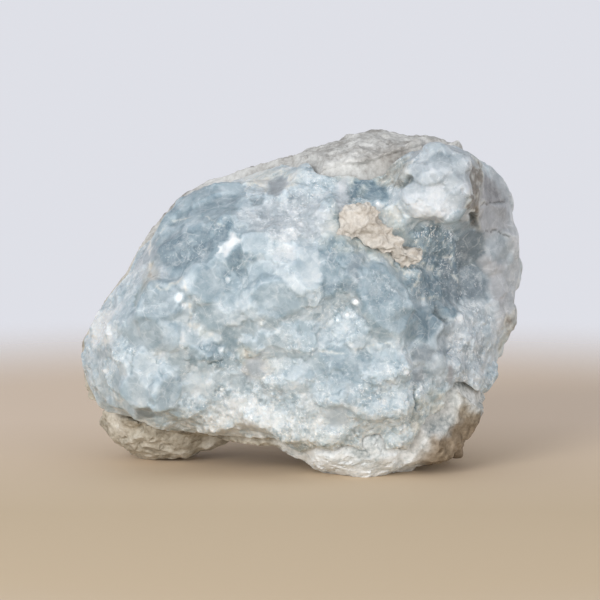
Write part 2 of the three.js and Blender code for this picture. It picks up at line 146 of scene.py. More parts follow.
def crust_at(p):
    """How much of the white celestite of the lower lip covers the rock at p."""
    x, y, z = p + 2 * noise.noise_vector(p / 4)
    across = step(-9, -2, x) * (1 - step(19, 27, x))
    return across * step(3, 8, -y) * (1 - step(14, 20, z))


lining_tree = BVHTree.FromBMesh(copied_solid("crystal_lining"))


def thin_crust_at(p):
    """The same crust where it thins out over the lower right corner, off the edge of the lining."""
    away = lining_tree.find_nearest(p * MM)[3] / MM + 1.6 * noise.noise(p / 2.3)
    thinning = 1 - step(0.4, 3.2, away)
    return 0.8 * thinning * step(6, 16, p.x) * (1 - step(-2, 8, p.y)) * (1 - step(30, 40, p.z))


def crust_relief(p):
    _, centres = noise.voronoi(p / 1.5)
    grains = (noise.noise_vector(centres[0] * 7.7) * 0.5).dot(p - centres[0] * 1.5)
    return 0.3 + 0.5 * noise.noise(p / 5) + grains


FRONT_SUNK = 0.9  # mm, how much deeper the front of the rock lies under the lining
BACK_RAISED = 1.5  # mm, how much higher than that its back lies there


def rock_or_crust_relief(p):
    """The relief of the bare rock or its crust. Where the lining covers it, the front of the rock
    lies deeper, and the back comes up to meet the lining's edge."""
    share = crust_at(p)
    bare = rock_relief(p) * (1 - share) ** 2 + crust_relief(p) * share
    under = 1 - step(0.4, 1.1, lining_tree.find_nearest(p * MM)[3] / MM)
    meeting = step(-4, 4, p.y)
    return bare * (1 - under) + (FRONT_SUNK * share - FRONT_SUNK + BACK_RAISED * meeting) * under


def rust_and_shade_at(p):
    """How brown and dark the rock is at p: most on the right foot, where its own brown is darkened as
    painted shade on the side away from the window, and sandy on the rim beside the knob.
    """
    foot = step(18, 26, p.x) * (1 - step(8, 18, p.z)) * (1 - step(-6, 4, p.y))
    sand = 1 - step(3, 7, (p - Vector((19, -14, 63))).length + 3 * noise.noise(p / 2))
    return max(foot, 0.3 * sand)


def put_values(piece, name, value_at):
    values = piece.data.attributes.new(name, "FLOAT", "POINT")
    values.data.foreach_set("value", [value_at(vert.co / MM) for vert in piece.data.vertices])


rock = refined("host_rock", "host_rock_surface", ROCK_VOXEL, ROCK_SMOOTHING)
put_values(rock, "crust", lambda p: max(crust_at(p), thin_crust_at(p)))
put_values(rock, "rust_and_shade", rust_and_shade_at)
move_points(rock, rock_or_crust_relief)


def new_material(name):
    material = bpy.data.materials.new(name)
    material.use_nodes = True
    nodes = material.node_tree.nodes
    return material, nodes, material.node_tree.links, nodes["Principled BSDF"]


def new_group(name, inputs, outputs):
    """A shader node group with named inputs (name, kind, value) and outputs (name, kind)."""
    group = bpy.data.node_groups.new(name, "ShaderNodeTree")
    for socket, kind, value in inputs:
        made = group.interface.new_socket(socket, in_out="INPUT", socket_type=kind)
        made.default_value = value
    for socket, kind in outputs:
        group.interface.new_socket(socket, in_out="OUTPUT", socket_type=kind)
    start = group.nodes.new("NodeGroupInput")
    end = group.nodes.new("NodeGroupOutput")
    return group, start, end


def put_group(nodes, group, **values):
    node = nodes.new("ShaderNodeGroup")
    node.node_tree = group
    for socket, value in values.items():
        node.inputs[socket.replace("_", " ")].default_value = value
    return node


def new_ramp(nodes, links, value, stops):
    ramp = nodes.new("ShaderNodeValToRGB")
    while len(ramp.color_ramp.elements) < len(stops):
        ramp.color_ramp.elements.new(0.5)
    for element, (position, color) in zip(ramp.color_ramp.elements, stops):
        element.position = position
        element.color = (*color, 1) if isinstance(color, tuple) else (color, color, color, 1)
    links.new(value, ramp.inputs["Fac"])
    return ramp.outputs["Color"]


def new_mix(nodes, links, share, a, b, blend="MIX"):
    mix = nodes.new("ShaderNodeMix")
    mix.data_type = "RGBA"
    mix.blend_type = blend
    for socket, value in zip((mix.inputs[0], mix.inputs[6], mix.inputs[7]), (share, a, b)):
        if isinstance(value, bpy.types.NodeSocket):
            links.new(value, socket)
        else:
            socket.default_value = (*value, 1) if isinstance(value, tuple) else value
    return mix.outputs[2]


def new_math(nodes, links, operation, a, b):
    node = nodes.new("ShaderNodeMath")
    node.operation = operation
    for socket, value in zip(node.inputs, (a, b)):
        if isinstance(value, bpy.types.NodeSocket):
            links.new(value, socket)
        else:
            socket.default_value = value
    return node.outputs[0]


# Grain: dark and pale specks over broad patches, for the rock and the clay. It puts out a shade
# between 0 and 1 and a height for a Bump node.
grain_group, grain_in, grain_out = new_group(
    "dull grain",
    [("Patch", "NodeSocketFloat", 1 / (7 * MM)), ("Speck", "NodeSocketFloat", 1 / (0.9 * MM))],
    [("Shade", "NodeSocketFloat"), ("Height", "NodeSocketFloat")],
)
nodes, links = grain_group.nodes, grain_group.links
place = nodes.new("ShaderNodeTexCoord").outputs["Object"]
patches = nodes.new("ShaderNodeTexNoise")
specks = nodes.new("ShaderNodeTexNoise")
for pattern, size in ((patches, "Patch"), (specks, "Speck")):
    pattern.inputs["Detail"].default_value = 4
    pattern.inputs["Roughness"].default_value = 0.6
    links.new(place, pattern.inputs["Vector"])
    links.new(grain_in.outputs[size], pattern.inputs["Scale"])
shade = new_math(nodes, links, "MULTIPLY", patches.outputs["Fac"], 0.63)
fine = new_math(nodes, links, "MULTIPLY", specks.outputs["Fac"], 0.37)
links.new(new_math(nodes, links, "ADD", shade, fine), grain_out.inputs["Shade"])
links.new(specks.outputs["Fac"], grain_out.inputs["Height"])

rock_material, nodes, links, shader = new_material("host rock")
grain = put_group(nodes, grain_group)
olive = new_ramp(nodes, links, grain.outputs["Shade"], [
    (0.30, (0.11, 0.095, 0.07)), (0.42, (0.28, 0.25, 0.195)),
    (0.52, (0.46, 0.425, 0.35)), (0.66, (0.66, 0.63, 0.56)),
])
grey = new_ramp(nodes, links, grain.outputs["Shade"], [
    (0.30, (0.15, 0.145, 0.135)), (0.42, (0.35, 0.34, 0.32)),
    (0.52, (0.51, 0.51, 0.49)), (0.66, (0.67, 0.67, 0.65)),
])
height = nodes.new("ShaderNodeSeparateXYZ")
links.new(nodes.new("ShaderNodeTexCoord").outputs["Object"], height.inputs["Vector"])
upper = nodes.new("ShaderNodeMapRange")
upper.inputs["From Min"].default_value = 20 * MM
upper.inputs["From Max"].default_value = 55 * MM
links.new(height.outputs["Z"], upper.inputs["Value"])
shade = new_mix(nodes, links, upper.outputs["Result"], olive, grey)
rust_and_shade = nodes.new("ShaderNodeAttribute")
rust_and_shade.attribute_name = "rust_and_shade"
# Painted shade: the right foot is multiplied browner and darker, its brown partly the rock's own and partly
# shade on the side away from the window.
rusty_and_shaded = new_mix(nodes, links, 1.0, shade, (0.56, 0.48, 0.41), "MULTIPLY")
shade = new_mix(nodes, links, rust_and_shade.outputs["Fac"], shade, rusty_and_shaded)
crust = nodes.new("ShaderNodeAttribute")
crust.attribute_name = "crust"
sugary = new_ramp(nodes, links, grain.outputs["Shade"], [
    (0.36, (0.25, 0.29, 0.30)), (0.45, (0.50, 0.53, 0.53)), (0.56, (0.73, 0.75, 0.75)),
])
shade = new_mix(nodes, links, crust.outputs["Fac"], shade, sugary)
links.new(shade, shader.inputs["Base Color"])
bump = nodes.new("ShaderNodeBump")
bump.inputs["Strength"].default_value = 0.45
bump.inputs["Distance"].default_value = 0.3 * MM
links.new(grain.outputs["Height"], bump.inputs["Height"])
links.new(bump.outputs["Normal"], shader.inputs["Normal"])
shader.inputs["Roughness"].default_value = 0.95
shader.inputs["Specular IOR Level"].default_value = 0.25
rock.data.materials.append(rock_material)
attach(rock, "root")
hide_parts("host_rock")

# ---------------------------------------------------------------- crystal lining
# The crust of blocky celestite crystals over the front. Blocks of up to about 6 mm grew in hollows
# between the large ones and up to their ends, all grown together, with fine white celestite in
# their seams. Milky and pale, it is slate blue where it is clear and the dark rock shows through.

LINING_VOXEL = 0.385 * MM
LINING_SMOOTHING = 20
LINING_TRIANGLES = 190000

# Where the crystals are bluer or paler than the rest: x and z of a place on the face, its reach
# across and up, and how blue it is there, from 0 (white) to 1 (slate blue).
BLUE_PLACES = [
    (-24.1, 47.0, 7.5, 5.0, 0.70), (-17.7, 56.5, 7.0, 4.0, 0.62), (-26.8, 53.5, 3.0, 3.5, 0.60),
    (-15.3, 50.5, 3.5, 3.5, 0.75), (-12.6, 44.6, 2.5, 3.5, 0.80), (-14.2, 47.3, 1.6, 2.6, 0.00),
    (-29.0, 34.0, 5.5, 7.0, 0.54), (-19.0, 40.3, 5.0, 5.0, 0.42), (-6.4, 37.5, 5.0, 5.0, 0.42),
    (-0.8, 44.0, 5.5, 6.0, 0.22), (-5.8, 52.0, 9.0, 4.5, 0.30), (16.6, 36.6, 6.5, 8.0, 0.50),
    (7.8, 43.0, 5.0, 6.0, 0.82), (25.3, 47.5, 4.6, 5.0, 0.76), (21.8, 41.0, 4.0, 4.0, 0.76),
    (28.8, 39.5, 4.5, 5.0, 0.95), (33.2, 45.0, 4.5, 9.0, 0.92), (24.8, 31.4, 4.6, 4.2, 0.76),
    (-26.6, 18.8, 2.8, 6.0, 0.55), (-32.6, 19.0, 5.0, 5.5, 0.44), (-17.6, 26.0, 4.5, 2.4, 0.66),
    (7.4, 23.4, 5.5, 3.6, 0.62), (25.8, 24.2, 4.0, 4.5, 0.45), (9.2, 56.5, 4.5, 3.5, 0.62),
    (-2.3, 4.5, 3.0, 3.0, 0.55), (-32.8, 43.5, 3.5, 4.0, 0.40), (13.2, 13.0, 4.0, 3.0, 0.35),
    (39.2, 50.0, 6.0, 12.0, 0.42), (27.2, 62.0, 9.5, 7.0, 0.42), (-7.8, 24.0, 4.0, 3.0, 0.35),
    (-6.6, 61.5, 7.0, 2.4, 0.0), (24.6, 54.8, 5.5, 3.4, 0.08),
    (-12.6, 12.5, 9.0, 4.5, 0.02), (-41.0, 30.5, 3.0, 4.0, 0.0),
]
PLAIN_BLUE = 0.36  # of the crystals that no place above names
# Where the lining is white and sugary: small grains, with low relief, over its larger crystals.
SUGARY_PLACES = [
    (1.0, 7.0, 26.0, 8.0, 1.0), (-21.0, 12.0, 12.0, 5.0, 0.7), (27.0, 60.0, 10.0, 9.0, 0.3),
    (21.0, 16.0, 14.0, 9.0, 0.8), (35.0, 25.0, 8.0, 12.0, 0.7), (1.0, 56.0, 12.0, 5.0, 0.6),
    (-39.0, 26.0, 6.0, 12.0, 0.5), (-1.0, 47.0, 7.0, 6.0, 0.4), (-9.0, 15.0, 12.0, 6.0, 0.8),
    (24.0, 45.0, 5.0, 5.0, 0.6), (17.6, 62.0, 5.0, 4.0, 1.0), (8.0, 32.0, 5.0, 5.0, 0.5),
]
PLAIN_SUGAR = 0.28
# The large, smooth crystals.
SMOOTH_PLACES = [
    (-24.1, 47.0, 8.0, 5.5, 1.0), (-17.7, 56.5, 7.0, 4.0, 1.0), (-29.0, 34.0, 6.0, 7.5, 1.0),
    (-19.0, 40.3, 5.0, 5.0, 0.8), (-6.4, 37.5, 5.0, 5.5, 0.9), (16.6, 36.6, 6.5, 8.0, 0.9),
    (-32.6, 19.0, 5.5, 6.0, 0.9), (-26.6, 18.8, 3.0, 6.0, 0.9), (24.8, 31.4, 4.6, 4.2, 0.9),
    (40.0, 50.0, 6.0, 14.0, 0.8), (32.0, 45.0, 4.5, 9.0, 0.8),
    (7.4, 23.4, 5.5, 3.6, 0.5), (25.8, 24.2, 4.0, 4.5, 0.8), (-0.8, 44.0, 4.5, 5.0, 0.4),
    (27.2, 62.0, 9.5, 8.0, 0.5),
]
# Where clay and rust have stained the crystals, from cream (0.5) to brown (1). The first two, dark brown on
# the right side of the knob and along the right edge, are partly painted shade on the sides away from the
# window.
STAINED_AND_SHADED_PLACES = [
    (35.0, 58.0, 2.2, 8.0, 1.1), (44.0, 27.0, 2.5, 9.0, 0.9), (-19.6, 30.5, 1.6, 1.2, 0.7),
    (-11.2, 25.7, 2.0, 1.5, 0.8), (-31.0, 40.5, 1.5, 4.0, 0.6), (13.0, 50.0, 9.0, 5.5, 0.45),
    (5.0, 6.0, 8.0, 3.0, 0.35), (12.0, 60.5, 6.0, 3.0, 0.4), (-8.6, 22.4, 2.6, 2.4, 0.35),
    (17.6, 62.5, 4.0, 4.0, 0.62), (-6.6, 61.5, 7.0, 2.4, 0.35), (28.0, 13.0, 8.0, 5.0, 0.5),
]
# Where the crystals are greyer than celestite's blue, with a breath of lilac. On the right column the grey,
# a little darker, is partly painted shade on the side away from the window.
GREY_PLACES = [
    (-3.0, 53.0, 9.0, 5.0, 0.4), (41.0, 47.0, 6.0, 18.0, 0.9), (33.0, 30.0, 8.0, 12.0, 0.35),
    (27.2, 61.0, 9.5, 9.0, 0.4), (25.8, 24.2, 4.0, 4.5, 0.3),
    (-9.4, 22.4, 3.0, 2.6, 0.6), (34.0, 58.0, 3.0, 9.0, 0.6), (-30.0, 44.0, 4.0, 5.0, 0.4),
]
# The blue crystals that are full of white flecks.
FLECKED_PLACES = [
    (26.5, 46.0, 6.0, 6.5, 0.9), (25.0, 38.5, 5.5, 3.5, 0.7), (16.6, 36.6, 5.0, 6.5, 0.3),
    (-24.1, 47.0, 6.5, 4.0, 0.2), (34.0, 40.0, 4.0, 4.0, 0.3),
]
# The faces that stand out of the crust: how blue and how grey each is, and the x and z of its
# corners on the face.
FLAT_FACES = [
    (0.64, 0.1, [(-22.6, 58.9), (-17.8, 58.5), (-13.2, 57.9), (-13.0, 55.3), (-17.8, 54.1), (-22.4, 55.1)]),
    (0.70, 0.1, [(-27.4, 51.7), (-25.0, 54.7), (-22.6, 55.3), (-23.0, 53.7), (-25.8, 51.5)]),
    (0.78, 0.1, [(-29.8, 48.5), (-25.0, 50.7), (-20.2, 51.3), (-18.0, 47.7), (-19.0, 45.1), (-25.4, 43.1),
                 (-29.0, 43.7)]),
    (1.00, 0.0, [(-17.2, 47.7), (-16.6, 50.9), (-14.8, 52.7), (-14.0, 51.5), (-15.0, 48.9)]),
    (1.00, 0.0, [(-14.2, 46.5), (-12.2, 47.9), (-11.8, 45.3), (-13.4, 43.3), (-15.2, 43.5), (-15.0, 44.5)]),
    (0.68, 0.0, [(-21.2, 42.5), (-17.6, 43.3), (-15.6, 41.9), (-15.8, 36.7), (-19.4, 35.9), (-21.8, 38.5)]),
    (0.58, 0.0, [(-15.2, 42.1), (-13.4, 42.1), (-12.2, 38.5), (-13.0, 35.3), (-15.0, 35.7)]),
    (0.66, 0.1, [(-32.4, 37.1), (-30.4, 39.7), (-27.0, 40.1), (-23.8, 38.5), (-23.6, 34.1), (-27.4, 32.5),
                 (-32.6, 32.9)]),
    (0.50, 0.1, [(-36.2, 31.3), (-32.6, 32.7), (-27.4, 32.3), (-24.4, 30.5), (-25.0, 27.3), (-30.6, 26.1),
                 (-35.4, 27.3)]),
    (0.52, 0.0, [(-21.8, 35.3), (-18.2, 35.7), (-15.0, 34.1), (-15.8, 30.5), (-19.6, 30.7)]),
    (0.76, 0.0, [(-20.2, 27.5), (-18.2, 28.1), (-16.4, 27.7), (-16.4, 26.1), (-19.6, 25.9)]),
    (0.58, 0.0, [(-15.8, 30.9), (-13.4, 31.3), (-13.2, 27.5), (-13.6, 25.3), (-15.8, 26.1)]),
    (0.36, 0.0, [(-12.0, 48.3), (-10.0, 50.1), (-7.2, 49.9), (-6.2, 47.3), (-9.0, 45.9), (-11.6, 46.1)]),
    (0.24, 0.0, [(-1.0, 47.3), (3.0, 46.9), (4.0, 42.5), (3.0, 38.5), (-0.2, 38.1), (-1.4, 42.9)]),
    (0.78, 0.0, [(3.8, 46.1), (5.6, 45.3), (6.8, 41.3), (6.0, 36.9), (4.2, 37.5)]),
    (0.46, 0.0, [(-10.6, 38.1), (-8.2, 41.3), (-4.2, 40.7), (-0.6, 37.1), (0.2, 34.3), (-3.4, 32.9),
                 (-9.0, 34.1)]),
    (0.16, 0.0, [(-4.4, 40.9), (-1.8, 41.7), (0.2, 38.5), (-0.6, 37.1)]),
    (0.60, 0.0, [(12.2, 43.3), (14.6, 44.1), (17.8, 42.9), (20.2, 38.5), (22.0, 34.1), (20.2, 30.1),
                 (14.6, 29.3), (11.8, 33.7), (11.0, 38.5)]),
    (0.72, 0.3, [(9.4, 45.3), (12.2, 46.5), (11.8, 43.7), (10.8, 39.9), (8.6, 41.7)]),
    (0.96, 0.0, [(9.4, 56.3), (9.4, 58.9), (10.8, 60.7), (13.0, 61.5), (14.8, 59.7), (12.0, 59.9),
                 (10.6, 58.1)]),
    (0.82, 0.0, [(13.0, 59.7), (15.8, 59.7), (17.6, 57.1), (14.6, 55.9), (12.2, 57.3)]),
    (0.18, 0.5, [(6.8, 60.1), (8.8, 61.7), (9.2, 54.5), (7.6, 53.3), (6.4, 55.5)]),
    (0.70, 0.3, [(-10.6, 57.5), (-8.0, 57.9), (-8.0, 55.9), (-10.2, 55.7)]),
    (0.56, 0.6, [(-6.8, 60.9), (-4.6, 62.3), (-3.0, 60.5), (-5.2, 57.3), (-7.0, 58.1)]),
    (0.86, 0.0, [(24.0, 51.3), (27.4, 51.7), (30.6, 49.3), (30.6, 46.5), (25.8, 46.1), (24.2, 47.7)]),
    (0.86, 0.0, [(23.4, 44.1), (25.6, 46.1), (27.4, 44.1), (27.0, 42.5), (23.4, 42.7)]),
    (0.94, 0.0, [(27.4, 44.9), (30.6, 45.7), (31.4, 42.9), (28.2, 41.7)]),
    (0.88, 0.0, [(21.8, 41.1), (24.2, 42.1), (28.2, 40.1), (29.0, 36.9), (23.4, 37.3), (20.2, 39.7)]),
    (1.00, 0.4, [(31.0, 48.5), (34.2, 51.3), (37.0, 50.5), (37.8, 46.5), (35.4, 44.1), (31.4, 44.1)]),
    (1.00, 0.3, [(28.4, 45.3), (31.0, 44.5), (31.8, 40.1), (31.2, 36.5), (28.6, 37.1), (28.0, 41.7)]),
    (0.84, 0.4, [(31.8, 43.5), (35.4, 43.9), (38.4, 41.1), (37.8, 36.5), (34.2, 36.9), (32.2, 39.7)]),
    (0.76, 1.0, [(37.0, 62.9), (39.4, 60.9), (42.0, 56.7), (38.8, 56.5), (36.0, 56.9)]),
    (0.54, 0.9, [(35.8, 56.3), (41.8, 56.3), (42.8, 51.3), (38.0, 50.5), (35.8, 53.3)]),
    (0.54, 0.5, [(37.4, 49.7), (41.6, 50.9), (43.4, 47.3), (43.4, 44.3), (39.4, 44.1), (37.2, 47.1)]),
    (0.88, 0.0, [(21.2, 29.3), (20.4, 32.1), (22.2, 34.3), (27.0, 34.9), (28.4, 33.9), (26.6, 30.5),
                 (24.2, 28.1)]),
    (0.50, 0.1, [(-28.0, 20.9), (-25.4, 21.9), (-24.6, 18.5), (-25.4, 14.5), (-29.0, 14.9)]),
    (0.38, 0.1, [(-35.2, 20.9), (-32.6, 22.1), (-30.8, 18.1), (-31.4, 14.9), (-34.6, 15.7)]),
    (0.68, 0.3, [(-34.0, 14.3), (-30.6, 14.9), (-30.0, 13.3), (-33.0, 12.3)]),
    (0.48, 0.2, [(-42.4, 26.3), (-39.0, 27.1), (-38.8, 24.9), (-41.8, 23.9)]),
    (0.40, 0.0, [(-27.2, 26.1), (-23.8, 26.5), (-23.0, 23.1), (-26.6, 22.7)]),
    (0.62, 0.0, [(-22.8, 27.5), (-21.4, 26.5), (-21.2, 23.7), (-22.6, 23.7)]),
    (0.52, 0.0, [(-9.0, 30.1), (-7.6, 30.5), (-7.2, 27.7), (-9.2, 26.9)]),
    (0.70, 0.0, [(3.8, 26.1), (8.2, 27.1), (9.4, 24.9), (7.4, 23.1), (4.6, 24.7)]),
    (0.66, 0.0, [(8.8, 24.5), (11.4, 25.7), (11.6, 19.7), (9.0, 19.3)]),
    (0.80, 0.5, [(21.6, 26.3), (24.2, 27.5), (27.2, 26.1), (25.8, 24.1), (22.2, 24.3)]),
    (0.60, 0.5, [(21.8, 22.1), (24.2, 22.5), (24.4, 20.1), (22.2, 19.7)]),
    (0.70, 0.9, [(29.0, 23.3), (30.4, 23.5), (30.4, 20.1), (29.4, 19.3)]),
    (0.30, 0.2, [(4.2, 14.1), (8.2, 15.3), (9.4, 11.7), (5.4, 10.5)]),
    (0.42, 0.5, [(-11.6, 24.3), (-8.2, 25.1), (-8.0, 22.1), (-10.2, 20.7)]),
    (1.00, 0.0, [(27.6, 35.3), (31.0, 34.9), (32.0, 32.9), (29.6, 33.1)]),
    (0.90, 0.0, [(-16.2, 42.7), (-14.8, 42.9), (-14.4, 38.3), (-15.6, 38.1)]),
]
# The faces that catch the window: a bright plate, and the x, z and radius of small glints. Besides being
# turned to reflect the window, they are painted white: painted highlights.
BRIGHT_PLATE = [(-15.8, 47.1), (-13.6, 50.1), (-12.5, 48.5), (-14.4, 46.5), (-15.2, 44.9), (-16.0, 44.9)]
GLINT_SPOTS = [
    (-2.6, 50.2, 0.5), (-1.9, 49.3, 0.4), (-0.4, 51.7, 0.4), (15.0, 55.9, 0.7), (10.4, 36.1, 0.7),
    (8.8, 33.5, 0.6), (31.8, 32.9, 0.8), (-24.6, 36.9, 0.7), (-23.6, 35.5, 0.6), (-16.4, 26.5, 0.5),
    (-8.2, 31.9, 0.5), (-15.0, 40.6, 0.5), (-40.0, 22.1, 0.5), (-32.4, 21.9, 0.4), (20.4, 22.0, 0.5),
    (-43.0, 32.1, 1.0), (-41.8, 30.1, 1.2), (-42.6, 28.3, 0.8), (-40.8, 31.2, 0.8), (9.4, 27.6, 0.4),
]
FACE_LEAN = math.tan(math.radians(6))  # how far the plane in which x and z are measured leans back
FACE_DEPTH = 24  # mm, how far that plane lies before the middle
MARK_EDGE = 9  # how sharp the edge of a mark is
LARGEST_POWER = 700  # past which exp is too large a number


def on_the_face(places):
    """x and z of places, measured on a plane that touches the front and leans back."""
    return np.stack([places[:, 0], places[:, 2] + FACE_LEAN * (places[:, 1] + FACE_DEPTH)], 1)


def face_map(places, marks, plain):
    """How strongly each place (mm) takes part in the marks of the crystal face."""
    wander = np.array([noise.noise_vector(Vector(p) / 3.2) for p in places]) * 1.6
    x, z = (on_the_face(places) + wander[:, ::2]).T
    value = np.full(len(places), float(plain))
    front = np.clip((14 - places[:, 1]) / 20, 0, 1)
    for mark_x, mark_z, reach_x, reach_z, strength in marks:
        away = ((x - mark_x) / reach_x) ** 2 + ((z - mark_z) / reach_z) ** 2
        share = front / (1 + np.exp(np.minimum(MARK_EDGE * (away - 0.9), LARGEST_POWER)))
        value = value * (1 - share) + strength * share
    return value


def tint_of(places, outward):
    """Blue, stain (in places painted shade), sugar and grey, each from 0 to 1, at places (mm) on faces that
    look outward.
    """
    blue = face_map(places, BLUE_PLACES, PLAIN_BLUE)
    sugar = face_map(places, SUGARY_PLACES, PLAIN_SUGAR)
    sugar *= 1 - face_map(places, SMOOTH_PLACES, 0)
    low = np.clip((17 - places[:, 2]) / 14, 0, 1)
    behind = np.clip((places[:, 1] + 4) / 14, 0, 1)
    stain_and_shade = np.maximum(face_map(places, STAINED_AND_SHADED_PLACES, 0), 0.35 * low + 0.3 * behind)
    faces = np.array([noise.noise(Vector(n) * 2.4 + Vector(p) / 9) for p, n in zip(places, outward)])
    blue = blue * (1 - 0.45 * low) + 0.2 * faces
    return np.clip(np.stack([blue, stain_and_shade, sugar, face_map(places, GREY_PLACES, 0)], 1), 0, 1)


def tint_points(mesh, tints):
    attribute = mesh.color_attributes.new("tint", "FLOAT_COLOR", "POINT")
    attribute.data.foreach_set("color", tints.ravel())


rng = np.random.default_rng(11)


def spaced(places, wanted, gaps):
    """Numbers of the wanted places that keep clear of those taken before them. Each place has its
    own gap (mm), and half of both gaps has to fit between two of them."""
    cell_size = gaps.max()
    cells = {}
    taken = []
    for number in wanted:
        i, j, k = (int(c // cell_size) for c in places[number])
        near = [
            other for a in (-1, 0, 1) for b in (-1, 0, 1) for c in (-1, 0, 1)
            for other in cells.get((i + a, j + b, k + c), ())
        ]
        if near:
            free = np.linalg.norm(places[near] - places[number], axis=1)
            if (free < (gaps[near] + gaps[number]) / 2).any():
                continue
        taken.append(number)
        cells.setdefault((i, j, k), []).append(number)
    return np.array(taken)


rock_tree = BVHTree.FromBMesh(copied_solid("host_rock"))
clay_tree = BVHTree.FromBMesh(copied_solid("clay_residue"))


def clearance(tree, places, reach):
    """From 0 on the tree's surface to 1 at a reach (mm) from it."""
    away = np.array([tree.find_nearest(Vector(p) * MM)[3] for p in places]) / MM
    return np.clip(away / reach, 0, 1)


SWELL_STEPS = 4
SWELL_VOXEL = 0.6 * MM


def swell(piece, distance):
    """Moves the whole surface of a piece outwards by a distance (mm), or inwards if it is negative."""
    for _ in range(SWELL_STEPS):
        outwards = normals_of(piece.data) * distance / SWELL_STEPS
        set_places(piece.data, places_of(piece.data) + outwards)
        remesh(piece, SWELL_VOXEL)


def keep_outer_skin(piece):
    """Takes away every closed surface but the largest: bubbles that were shut in."""
    shape = bmesh.new()
    shape.from_mesh(piece.data)
    left = set(shape.verts)
    islands = []
    while left:
        island = {left.pop()}
        edge = list(island)
        while edge:
            vert = edge.pop()
            new = {link.other_vert(vert) for link in vert.link_edges} & left
            left -= new
            island |= new
            edge.extend(new)
        islands.append(island)
    islands.sort(key=len)
    inner = [vert for island in islands[:-1] for vert in island]
    bmesh.ops.delete(shape, geom=inner, context="VERTS")
    shape.to_mesh(piece.data)
    shape.free()


# The gaps between the large crystals are filled to their brims: swollen, the crystals meet, and
# what has met stays together when they shrink back.
FILLED_GAP = 2.6  # mm, half the width of the gaps that close
CLOSED_SOLID_VOXEL = 0.5 * MM

lining = refined("crystal_lining", "crystal_lining_surface", CLOSED_SOLID_VOXEL, 0)
swell(lining, FILLED_GAP)
swell(lining, -FILLED_GAP)
keep_outer_skin(lining)
remesh(lining, LINING_VOXEL, LINING_SMOOTHING)

# The crystals that fill the crust: cells round their own middles, each with a flat face of its own
# tilt. The smallest stand in the seams.
AGAINST_ROCK = 0.7  # mm; the lining is hidden where it is nearer to the rock than this
CELL_COARSE = 3.9  # mm, between the middles of two crystals
CELL_FINE = 1.3  # where the lining is sugary
CELL_RANGE = (0.45, 1.3)  # the smallest and the largest, against those
SIZE_STEP = 0.5  # mm; the larger crystals take their places first, in steps of this
SEAM = 0.3  # mm, how far from a border the crumbs in the seams stand
CRUMB = 1.1  # mm across
CRUMB_RANGE = (0.6, 1.5)  # the smallest and the largest, against that
CRUMBS_APART = 1.6  # between the middles of two crumbs, against their size
CRUMB_SUGAR = 0.6

places = places_of(lining.data)
normals = normals_of(lining.data)
place_tints = tint_of(places, normals)
hidden = clearance(rock_tree, places, AGAINST_ROCK) < 1
coarse = CELL_COARSE * (1 + 0.3 * face_map(places, SMOOTH_PLACES, 0))
sugar = np.clip(1.2 * place_tints[:, 2], 0, 1)
gaps = (coarse + (CELL_FINE - coarse) * sugar) * rng.uniform(*CELL_RANGE, len(places))
wanted = rng.permutation(np.flatnonzero(~hidden))
wanted = wanted[np.argsort(-gaps[wanted] // SIZE_STEP, kind="stable")]
cells = spaced(places, wanted, gaps)
broken = np.array([
    noise.noise_vector(Vector(p) / 1.4) + 0.5 * noise.noise_vector(Vector(p) / 0.6) for p in places
])


def borders_of(places, middles, reach):
    """The cell of each place, and how far (mm) it is from the nearest border with another."""
    tree = KDTree(len(middles))
    for number, p in enumerate(middles):
        tree.insert(p, number)
    tree.balance()
    near = np.array([[number for _, number, _ in tree.find_n(p, 5)] for p in places])
    power = ((places[:, None] - middles[near]) ** 2).sum(2) - reach[near] ** 2
    order = power.argsort(1)
    rows = np.arange(len(places))
    own, other = near[rows, order[:, 0]], near[rows, order[:, 1]]
    apart = np.linalg.norm(middles[own] - middles[other], axis=1)
    return own, (power[rows, order[:, 1]] - power[rows, order[:, 0]]) / (2 * apart)


bent = places + broken * (0.4 + 0.3 * sugar[:, None])
_, border = borders_of(bent, places[cells], gaps[cells] / 2)
crumb_gaps = CRUMB * rng.uniform(*CRUMB_RANGE, len(places))
in_seam = rng.permutation(np.flatnonzero((border < SEAM) & ~hidden))
crumbs = spaced(places, in_seam, CRUMBS_APART * crumb_gaps)
gaps[crumbs] = crumb_gaps[crumbs]
crumbs = crumbs[~np.isin(crumbs, cells)]
is_crumb = np.concatenate([np.zeros(len(cells), bool), np.ones(len(crumbs), bool)])
cells = np.concatenate([cells, crumbs])
cell_places, cell_normals, cell_reach = places[cells], normals[cells], gaps[cells] / 2
cell_sugar = np.where(is_crumb, CRUMB_SUGAR, sugar[cells])

# Straight borders half way between two middles, a little broken, and further from a larger one.
cell_of, border = borders_of(bent, cell_places, cell_reach)

# A few small faces look half way between the viewer and the window, and glint.
GLINT = np.array(Vector((-0.22, -0.93, 0.22)).normalized())
GLINT_SHARE = 0.03  # of the crystals
GLINT_REACH = 0.8  # mm, the most from the middle of one that glints to its border
cell_planes = cell_normals + (0.04 + 0.12 * cell_sugar[:, None]) * rng.standard_normal(cell_normals.shape)
can_glint = (cell_reach < GLINT_REACH) & (cell_normals @ GLINT > 0.6)
glints = (rng.random(len(cells)) < GLINT_SHARE) & can_glint
cell_planes[glints] = GLINT
cell_planes /= np.linalg.norm(cell_planes, axis=1)[:, None]
FACE_RELIEF = 0.22  # mm, the most that a face stands above or below the crust
SUGARY_RELIEF = 0.4  # mm, how much more where it is sugary
offsets = (0.02 + 0.07 * cell_sugar) * cell_reach * rng.standard_normal(len(cells))
cell_middles = cell_places + cell_normals * offsets[:, None]
own_plane = cell_planes[cell_of]
slope = np.maximum((normals * own_plane).sum(1), 0.4)
rise = ((cell_middles[cell_of] - places) * own_plane).sum(1) / slope
limit = FACE_RELIEF + SUGARY_RELIEF * sugar
moved = places + normals * (np.clip(rise, -limit, limit) * ~hidden)[:, None]

